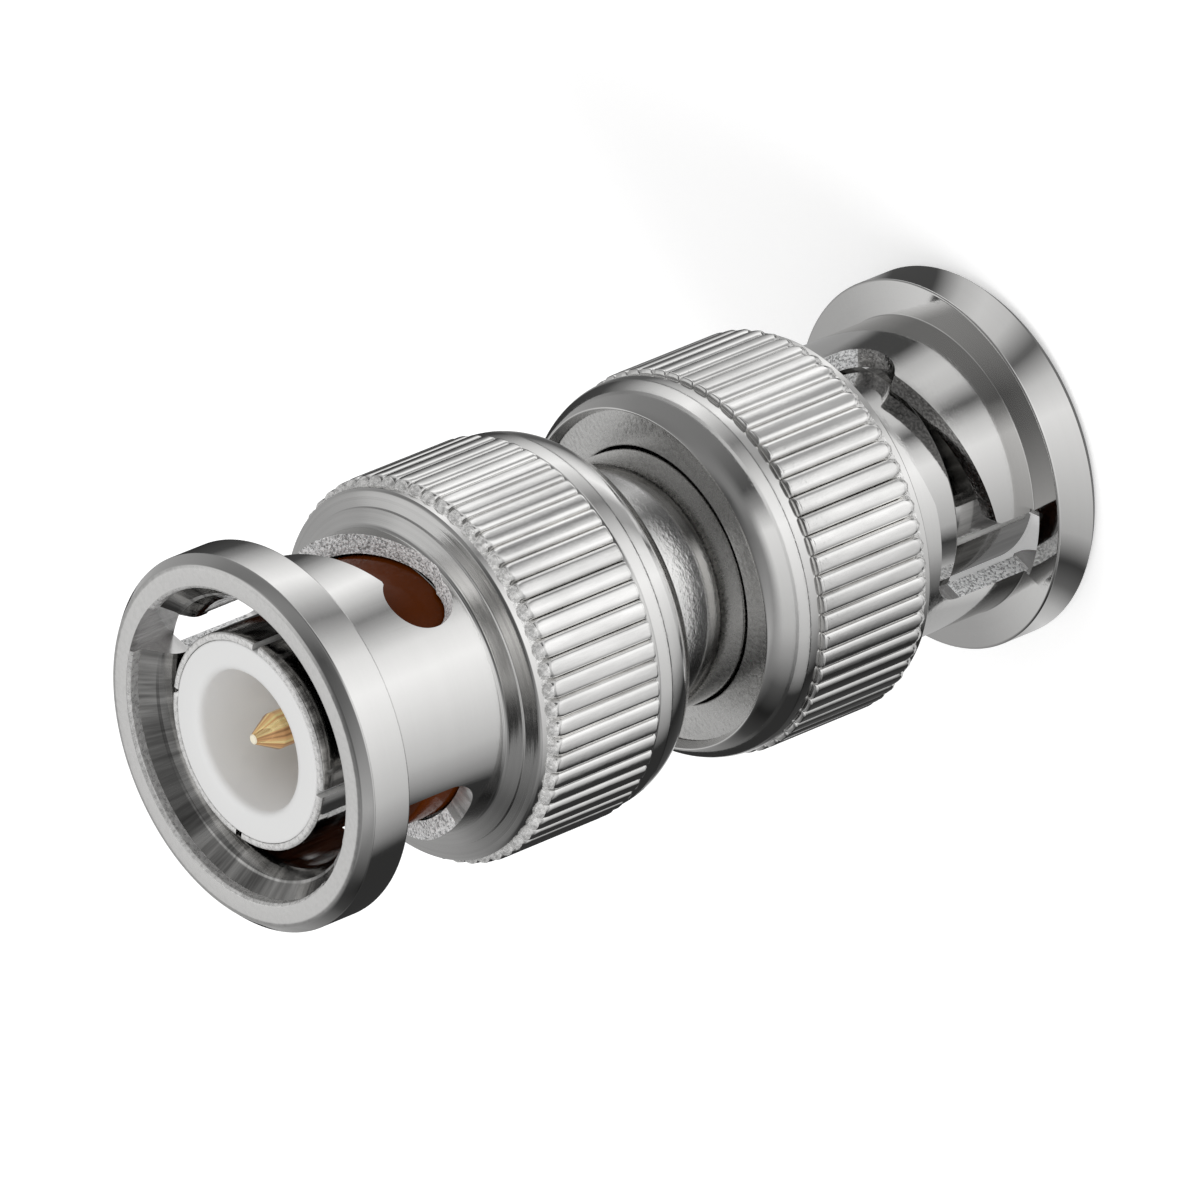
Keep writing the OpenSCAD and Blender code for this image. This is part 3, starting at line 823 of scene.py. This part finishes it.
    def build(self) -> None:
        """Makes the nut and puts it in its place."""
        front, teeth = self.front(), self.teeth()
        rows = front + teeth + self.back()
        pitch = 2 * math.pi / self.tooth_count
        across = np.tile(self.tooth_columns, self.tooth_count)
        middles = np.repeat(np.arange(self.tooth_count), len(self.tooth_columns)) * pitch
        angles = middles + across * pitch / 2
        radii = np.tile(np.array(rows)[:, 0], (len(angles), 1))
        for row in range(len(front), len(front) + len(teeth)):
            radii[:, row] += self.tooth_height(across, rows[row][1])
        name = self.end.node("nut")
        nut = MeshShop.turned(name, rows, angles, radii)
        self.finishes.dress(nut, *self.KINDS)
        for start in (0.0, 180.0):
            MeshShop.cut(nut, self.slot_cutter(start))
        for face in nut.data.polygons:
            turned = face.material_index == 0
            kind = self.finish_at(face.center / MM) if turned else self.cut_finish(face)
            face.material_index = self.KINDS.index(kind)
        self.seat(nut, "coupling_nut", "nickel_nut", body=name, turn=self.turn_by)


@dataclass
class RetainingWasher(EndFitting):
    """Satin washer under the rolled lip."""

    radii: RimPoint = (4.87, 6.37)
    depths: RimPoint = (14.61, 15.21)

    def build(self) -> None:
        """Makes the washer with softly rounded stamped edges."""
        section = ring_section(self.radii, self.depths, 0.05, 0.05, 0.08, 0.08)
        name = self.end.node("washer")
        washer = self.turn(name, section, COLUMNS, Finishes.WASHER)
        self.seat(washer, "retaining_washer", "washer_steel", body=name)


@dataclass
class OuterContact(EndFitting):
    """Slotted tube that springs inside the barrel of a mating socket."""

    root_from: float = 5.0
    outer_r: float = 4.05
    inner_r: float = 3.78
    root_r: float = 3.87
    root_inner_r: float = 3.6
    wall: float = 0.27
    tip: float = 0.52
    tip_mark: float = 0.06
    seated_at: float = 9.4
    slot_w: float = 0.3
    slot_end: float = 4.6
    slot_turn: float = 42.0
    slot_reach: RimPoint = (3.4, 4.6)

    def build(self) -> None:
        """Makes the tube and cuts its four slots."""
        corners = [
            Corner(self.inner_r, self.tip, 0.03),
            Corner(self.outer_r, self.tip, 0.12),
            Corner(self.outer_r, self.root_from, 0.02),
            Corner(self.root_r, self.root_from),
            Corner(self.root_r, self.seated_at),
            Corner(self.root_inner_r, self.seated_at),
            Corner(self.root_inner_r, self.root_from - self.wall),
            Corner(self.inner_r, self.root_from - self.wall),
        ]
        kinds = (Finishes.CONTACT, Finishes.TIP)
        tube = self.turn(self.end.node("contact"), corners, FINE_COLUMNS, *kinds)
        for quarter in range(4):
            MeshShop.cut(tube, self.slot_cutter(self.slot_turn + 90 * quarter))
        for face in tube.data.polygons:
            if face.center.z < (self.tip + self.tip_mark) * MM:
                face.material_index = kinds.index(Finishes.TIP)
        self.seat(tube, "outer_contact", "nickel_contact")

    def slot_cutter(self, angle: float) -> Piece:
        """Box that cuts one slot from the tip backwards, at an angle in degrees."""
        turn = np.array(Matrix.Rotation(math.radians(angle), 3, "Z"))
        half = self.slot_w / 2
        depths = (self.tip - 1, self.slot_end)
        box = [(r, y, z) for r in self.slot_reach for y in (-half, half) for z in depths]
        sides = [(0, 1, 3, 2), (4, 6, 7, 5), (0, 4, 5, 1), (2, 3, 7, 6), (0, 2, 6, 4), (1, 5, 7, 3)]
        cutter = MeshShop.finish_mesh("contact_slot", np.array(box) @ turn.T, sides)
        self.finishes.dress(cutter, Finishes.CONTACT)
        return cutter


@dataclass
class Insulator(EndFitting):
    """White moulding with a recess round the pin."""

    outer_r: float = 3.77
    face: float = 0.5
    recess_r: float = 2.62
    recess: float = 5.7
    seated_at: float = 9.4
    neck_r: float = 3.59
    neck_from: float = 4.72
    stem_r: float = 2.3
    middle: float = 17.49
    rod_r: float = 0.91
    bead_r: float = 1.31
    bead_from: float = 16.89

    def build(self) -> None:
        """Makes the moulding with soft edges."""
        corners = [
            Corner(self.rod_r, self.recess),
            Corner(self.recess_r, self.recess, 0.3),
            Corner(self.recess_r, self.face, 0.34),
            Corner(self.outer_r, self.face, 0.10),
            Corner(self.outer_r, self.neck_from),
            Corner(self.neck_r, self.neck_from),
            Corner(self.neck_r, self.seated_at),
            Corner(self.stem_r, self.seated_at),
            Corner(self.stem_r, self.middle),
            Corner(self.bead_r, self.middle),
            Corner(self.bead_r, self.bead_from),
            Corner(self.rod_r, self.bead_from),
        ]
        part = self.turn(self.end.node("insulation"), corners, COLUMNS, Finishes.PLASTIC)
        self.seat(part, "insulator", "white_plastic")


@dataclass
class Gasket(EndFitting):
    """Brown silicone ring."""

    outer_r: float
    back: float
    finish: Finish
    inner_r: float = 3.88
    front: float = 5.0

    def build(self) -> None:
        """Makes the ring with rounded edges."""
        radii, depths = (self.inner_r, self.outer_r), (self.front, self.back)
        section = ring_section(radii, depths, 0.08, 0.14, 0.06, 0.03)
        ring = self.turn(self.end.node("seal"), section, COLUMNS, self.finish)
        self.seat(ring, "gasket", "silicone")


@dataclass
class Core(Fitting):
    """The body, the flange bush and the centre contact between the two nuts."""

    neck_r: float = 4.8
    barrel_r: float = 4.85
    socket_r: float = 3.88
    stem_r: float = 2.31
    flange_r: float = 6.3
    flange_front: float = 8.91
    seated_at: float = 9.4
    upper_barrel: float = 7.6
    lower_barrel: float = 5.0
    rebate_r: float = 4.61
    rebate: float = 6.2
    pin_r: float = 0.675
    pin_from: float = 0.8
    pin_tip_r: float = 0.17
    pin_cone_end: float = 1.75
    pin_columns: int = 96
    pin_root: float = 5.7
    rod_r: float = 0.9
    bead_r: float = 1.3
    bead_from: float = 16.9
    tip_mark: float = 0.06

    def build(self) -> None:
        """Makes the three pieces."""
        self.build_body()
        self.build_bush()
        self.build_pin()

    def flange(self) -> list[Corner]:
        """Corners from the outside of a barrel to the back of its flange."""
        return [
            Corner(self.barrel_r, self.flange_front),
            Corner(self.flange_r, self.flange_front, 0.15),
            Corner(self.flange_r, FLANGE_BACK, 0.15),
        ]

    def build_body(self) -> None:
        """Upper flange, neck and spigot, drawn from the upper rim face."""
        spigot = self.socket_r - 0.01
        corners = [
            Corner(self.socket_r, self.upper_barrel, 0.02),
            Corner(self.barrel_r, self.upper_barrel, 0.05),
            *self.flange(),
            Corner(self.neck_r, FLANGE_BACK),
            Corner(self.neck_r, OVERALL - FLANGE_BACK),
            Corner(spigot, OVERALL - FLANGE_BACK),
            Corner(spigot, OVERALL - self.seated_at),
            Corner(self.stem_r, OVERALL - self.seated_at),
            Corner(self.stem_r, self.seated_at),
            Corner(self.socket_r, self.seated_at),
        ]
        body = self.turn("neck_and_flange", corners, FINE_COLUMNS, Finishes.BODY)
        self.place(body, End.UPPER.placing(), "main_body", "body", "nickel_body")

    def build_bush(self) -> None:
        """Lower flange and barrel, drawn from the lower rim face."""
        corners = [
            Corner(self.rebate_r, self.lower_barrel, 0.03),
            Corner(self.barrel_r, self.lower_barrel, 0.08),
            *self.flange(),
            Corner(self.socket_r, FLANGE_BACK),
            Corner(self.socket_r, self.rebate),
            Corner(self.rebate_r, self.rebate),
        ]
        bush = self.turn("lower_barrel", corners, FINE_COLUMNS, Finishes.BODY)
        self.place(bush, End.LOWER.placing(), "flange_bush", "body", "nickel_body")

    def build_pin(self) -> None:
        """The gilt rod with a pointed pin at each end."""
        half = [
            Corner(0.0, self.pin_from),
            Corner(self.pin_tip_r, self.pin_from, 0.04),
            Corner(self.pin_r, self.pin_cone_end, 0.06),
            Corner(self.pin_r, self.pin_root),
            Corner(self.rod_r, self.pin_root),
            Corner(self.rod_r, self.bead_from),
            Corner(self.bead_r, self.bead_from),
        ]
        other = [Corner(c.r, OVERALL - c.z, c.cut) for c in reversed(half)]
        outline = rounded_outline(half + other, closed=False)
        pin = MeshShop.turned("pins", outline, even_angles(self.pin_columns))
        self.finishes.dress(pin, Finishes.GILT, Finishes.GILT_TIP_PAINTED_HIGHLIGHT)
        # Faces at both blunt ends get the pale cream tip finish, a painted highlight.
        tip = OVERALL / 2 - self.pin_from - self.tip_mark
        for face in pin.data.polygons:
            if abs(face.center.z / MM - OVERALL / 2) > tip:
                face.material_index = 1
        self.place(pin, End.LOWER.placing(), "centre_contact", "body", "gilt")


@dataclass
class WaveSprings(EndFitting):
    """Two waved rings between flange and washer; the real ones flatten as the nut is pulled back,
    but these keep their waves.
    """

    radii: RimPoint = (5.085, 6.185)
    strip_t: float = 0.25
    height: float = 1.2
    swing: float = 0.46
    waves: int = 3
    columns: int = 216
    travel: float = 0.6

    def build(self) -> None:
        """Makes both springs, with the waves of one against those of the other."""
        angles = even_angles(self.columns)
        for order, label in enumerate(("inner", "outer")):
            middle = FLANGE_BACK + (order + 0.5) * self.height
            depths = (middle - self.strip_t / 2, middle + self.strip_t / 2)
            section = ring_section(self.radii, depths, 0.05, 0.05, 0.05, 0.05)
            outline = rounded_outline(section, closed=True, steps=2)
            lift = self.swing * np.cos(self.waves * angles + order * math.pi)
            spring = MeshShop.turned(self.end.node(f"{label}_spring"), outline, angles, lift=lift)
            self.finishes.dress(spring, Finishes.SPRING)
            self.seat(spring, f"{label}_wave_spring", "spring_steel")
            anchor = self.end.placing() @ Vector((0, 0, FLANGE_BACK * MM))
            self.end.node("nut_slide")
            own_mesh(spring)


@dataclass
class ThrustWashers(Fitting):
    """Hidden washers at the stop shoulders, which keep their CAD meshes."""

    def dress(self) -> None:
        """Gives each its own metal."""
        for end in End:
            self.finishes.dress(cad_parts[end.node("thrust_washer")], Finishes.WASHER)
            log.info("%s thrust washer dressed", end.value)


@dataclass
class PhotoCamera:
    """Camera of the photograph, from where it sees the two rim centres.

    The centres are in the camera's own directions: right, down and forward.
    """

    near_rim: tuple[float, float, float] = (-12.89, 5.19, 688.09)
    far_rim: tuple[float, float, float] = (13.46, -5.55, 708.78)
    lens: float = 586.86
    sensor: float = 36.0
    clip: tuple[float, float] = (0.05, 50.0)

    def build(self) -> None:
        """Makes the scene's camera."""
        near, far = Vector(self.near_rim), Vector(self.far_rim)
        middle = (near + far) / 2
        axis = (near - far).normalized()
        to_camera = -middle.normalized()
        front = (to_camera - axis * to_camera.dot(axis)).normalized()
        turn = Matrix(((-front).cross(axis), -front, axis)).transposed()
        data = bpy.data.cameras.new("camera")
        data.lens, data.sensor_width = self.lens, self.sensor
        data.clip_start, data.clip_end = self.clip
        camera = bpy.data.objects.new("camera", data)
        bpy.context.scene.collection.objects.link(camera)
        where = Vector((0, 0, OVERALL / 2)) - turn.transposed() @ middle
        right, down, forward = (turn[i] for i in range(3))
        pose = Matrix((right, -down, -forward)).transposed().to_4x4()
        camera.matrix_world = Matrix.Translation(where * MM) @ pose
        bpy.context.scene.camera = camera


@dataclass(frozen=True)
class Band:
    """Light and dark sectors: out to a radius on the floor, or at a rise in degrees on the tent."""

    edge: float
    levels: Levels


@dataclass(frozen=True)
class Lamp:
    """Soft square lamp aimed at the adapter: place and side in metres, power in watts."""

    name: str
    where: tuple[float, float, float]
    side: float
    power: float

    def build(self) -> None:
        """Makes the lamp, which no metal mirrors."""
        data = bpy.data.lights.new(self.name, "AREA")
        data.size, data.energy = self.side, self.power
        lamp = bpy.data.objects.new(self.name, data)
        lamp.visible_glossy = False
        bpy.context.scene.collection.objects.link(lamp)
        lamp.location = self.where
        aim = Vector((0, 0, OVERALL / 2 * MM)) - Vector(self.where)
        lamp.rotation_euler = aim.to_track_quat("-Z", "Y").to_euler()


@dataclass
class Studio:
    """White sweep, soft lamps, and the tent and floor card that only the metal mirrors."""

    UPRIGHT = (
        (10, 0.66), (30, 0.22), (42, 0.06), (70, 0.03), (176, 0.03), (188, 0.26), (210, 0.54),
        (230, 0.68), (252, 0.86), (270, 1.0), (290, 0.84), (304, 0.52), (318, 0.22), (330, 0.5),
        (350, 1.0),
    )
    FOOT = (
        (2, 0.06), (13, 0.3), (170, 0.42), (181, 0.58), (191, 0.45), (202, 0.12), (213, 0.04),
        (225, 0.42), (247, 0.6), (270, 0.82), (282, 0.6), (293, 0.1), (305, 0.56), (317, 0.64),
        (328, 0.5), (340, 0.06),
    )
    COLLAR = (
        (12, 0.42), (30, 0.1), (48, 0.1), (66, 0.3), (114, 0.76), (133, 0.07), (185, 0.02),
        (202, 0.2), (219, 0.47), (253, 0.8), (270, 1.0), (287, 0.84), (304, 0.36), (321, 0.4),
        (338, 1.0), (355, 0.74),
    )
    NECK = (
        (2, 0.26), (21, 0.16), (50, 0.1), (120, 0.3), (145, 0.03), (180, 0.01), (252, 0.03),
        (307, 0.03), (325, 0.14), (344, 0.4),
    )
    FAR = ((-150, 0.3), (-90, 0.7), (-30, 0.5), (30, 0.2), (90, 0.5), (150, 0.04), (180, 0.04))
    world_light: float = 0.6
    floor_half: float = 3000.0
    floor_shade: tuple[float, ...] = (0.92, 0.92, 0.92, 1)
    floor_roughness: float = 0.9
    floor_glow: float = 0.36
    tent_r: float = 200.0
    card_glow: float = 1.15
    card_lift: float = 0.02
    card_columns: int = 120
    tent_columns: int = 90
    rings: tuple[Band, ...] = (
        Band(7.06, ((0, 0.15),)),
        Band(12.0, FOOT),
        Band(26.8, COLLAR),
        Band(28.6, NECK),
        Band(85.0, UPRIGHT),
        Band(200.0, FAR),
    )
    bands: tuple[Band, ...] = (
        Band(22.0, (
            (-170, 0.34), (-150, 0.3), (-125, 0.05), (-108, 0.015), (-90, 0.08), (-55, 0.5),
            (0, 0.8), (14, 0.3), (24, 0.08), (55, 0.18), (108, 0.22), (150, 0.34), (170, 0.36),
        )),
        Band(36.0, (
            (-170, 0.34), (-150, 0.2), (-120, 0.03), (-61, 0.3), (0, 0.22), (61, 0.2),
            (113, 0.16), (150, 0.4), (170, 0.42),
        )),
        Band(42.0, (
            (-170, 0.62), (-145, 0.15), (-120, 0.03), (-65, 0.4), (0, 0.18), (65, 0.22),
            (125, 0.25), (145, 0.55), (170, 0.7),
        )),
        Band(50.0, (
            (-170, 0.54), (-138, 0.08), (-69, 0.4), (0, 0.14), (30, 0.07), (69, 0.24),
            (110, 0.4), (138, 0.62), (170, 0.66),
        )),
        Band(66.0, (
            (-128, 0.25), (-40, 0.1), (0, 0.07), (60, 0.1), (100, 0.34), (128, 0.7), (150, 0.6),
            (180, 0.2),
        )),
        Band(84.0, ((0, 0.11),)),
    )
    lamps: tuple[Lamp, ...] = (
        Lamp("key", (-0.28, -0.22, 0.42), 0.26, 0.95),
        Lamp("fill", (0.35, -0.10, 0.30), 0.30, 0.4),
    )

    def build(self) -> None:
        """Makes the whole studio."""
        self.build_world()
        self.build_floor()
        self.build_floor_card()
        self.build_tent()
        for lamp in self.lamps:
            lamp.build()

    @staticmethod
    def seen_as_white(tree: Tree) -> Socket:
        """One where the camera, metal or glass looks, and nought for the light on pieces."""
        path = tree.add("LightPath").outputs
        seen = tree.math("MAXIMUM", path["Is Camera Ray"], path["Is Glossy Ray"])
        return tree.math("MAXIMUM", seen, path["Is Transmission Ray"])

    def build_world(self) -> None:
        """White all round, and a little less of it as light."""
        world = bpy.data.worlds.new("sweep")
        bpy.context.scene.world = world
        world.use_nodes = True
        tree = Tree(world.node_tree)
        back = world.node_tree.nodes["Background"]
        back.inputs["Color"].default_value = (1, 1, 1, 1)
        strength = tree.span(self.seen_as_white(tree), 0.0, 1.0, self.world_light, 1.0)
        tree.feed(back.inputs["Strength"], strength)

    def build_floor(self) -> None:
        """Pale floor that keeps the shadow of the adapter."""
        half = self.floor_half
        corners = np.array([(-half, -half, 0), (half, -half, 0), (half, half, 0), (-half, half, 0)])
        floor = MeshShop.finish_mesh("floor", corners, [(0, 1, 2, 3)])
        made = bpy.data.materials.new("floor")
        made.use_nodes = True
        tree = Tree(made.node_tree)
        inputs = made.node_tree.nodes["Principled BSDF"].inputs
        inputs["Base Color"].default_value = self.floor_shade
        inputs["Roughness"].default_value = self.floor_roughness
        inputs["Specular IOR Level"].default_value = 0.0
        inputs["Emission Color"].default_value = (1, 1, 1, 1)
        glow = tree.times(self.seen_as_white(tree), self.floor_glow)
        tree.feed(inputs["Emission Strength"], glow)
        floor.data.materials.append(made)

    @staticmethod
    def only_mirrored(card: Piece, glow: bpy.types.Material) -> None:
        """Gives a card its glow and hides it from everything but mirrors."""
        card.data.materials.append(glow)
        card.visible_camera = card.visible_diffuse = card.visible_shadow = False
        card.visible_transmission = card.visible_volume_scatter = False

    def glow(self, name: str, level: Shading) -> bpy.types.Material:
        """Makes a glowing material.

        Args:
            name: name of the material.
            level: draws its level from the three numbers of a place in metres.

        Returns:
            The material.
        """
        made = bpy.data.materials.new(name)
        made.use_nodes = True
        made.node_tree.nodes.clear()
        tree = Tree(made.node_tree)
        shade = level(tree, tree.parts(tree.own_place()))
        glow = tree.add("Emission", {"Color": shade, "Strength": self.card_glow})
        tree.add("OutputMaterial", {"Surface": glow.outputs[0]})
        return made

    @staticmethod
    def ring_level(ring: Band, tree: Tree, place: list[Socket]) -> Socket:
        """Level of one ring of the floor card, with sectors measured from the X axis."""
        return tree.sectors(tree.math("ARCTAN2", place[1], place[0]), ring.levels)

    def build_floor_card(self) -> None:
        """Rings of light and dark sectors round the foot, which give upright metal its streaks."""
        name, inner = "floor_card", 0.0
        for ring in self.rings:
            outline = [(inner, self.card_lift), (ring.edge, self.card_lift)]
            card = MeshShop.turned(name, outline, even_angles(self.card_columns), sheet=True)
            self.only_mirrored(card, self.glow(name, partial(self.ring_level, ring)))
            inner = ring.edge

    def tent_level(self, tree: Tree, place: list[Socket]) -> Socket:
        """Level of the tent, with sectors measured from the camera's side."""
        x, y, z = place
        turn = tree.math("ARCTAN2", x, tree.times(y, -1.0))
        share_up = tree.math("MINIMUM", tree.math("DIVIDE", z, self.tent_r * MM), 1.0)
        rise = tree.math("ARCSINE", share_up)
        level = tree.sectors(turn, self.bands[0].levels)
        for below, band in zip(self.bands, self.bands[1:]):
            share = tree.span(rise, math.radians(below.edge), math.radians(band.edge), 0.0, 1.0)
            fed = {"Factor": share, 6: level, 7: tree.sectors(turn, band.levels)}
            level = tree.add("Mix", fed, data_type="RGBA").outputs[2]
        return level

    def build_tent(self) -> None:
        """Tent over the adapter: a dome and the cap that closes it."""
        rises = np.radians(np.arange(0, 90, 6))
        outline = [(self.tent_r * math.cos(t), self.tent_r * math.sin(t)) for t in rises]
        angles = even_angles(self.tent_columns)
        glow = self.glow("tent", self.tent_level)
        self.only_mirrored(MeshShop.turned("tent", outline, angles, sheet=True), glow)
        cap = [outline[-1], (0.0, self.tent_r)]
        self.only_mirrored(MeshShop.turned("tent_top", cap, angles), glow)


def main() -> None:
    """Builds the camera, the studio and every piece of the adapter."""
    PhotoCamera().build()
    Studio().build()
    bpy.context.scene.view_settings.view_transform = "Standard"
    finishes = Finishes(SharedEffects())
    CouplingNut(finishes, End.UPPER, turn_by=-28.5).build()
    CouplingNut(finishes, End.LOWER, turn_by=45.0).build()
    for end in End:
        RetainingWasher(finishes, end).build()
        WaveSprings(finishes, end).build()
        Insulator(finishes, end).build()
    for end in End:
        OuterContact(finishes, end).build()
    Gasket(finishes, End.UPPER, outer_r=4.84, back=7.6, finish=Finishes.SILICONE).build()
    # The lower gasket takes the darker silicone copy, which is painted shade.
    Gasket(finishes, End.LOWER, outer_r=4.6, back=6.2, finish=Finishes.SILICONE_PAINTED_SHADE).build()
    Core(finishes).build()
    ThrustWashers(finishes).dress()


if __name__ == "__main__":
    main()
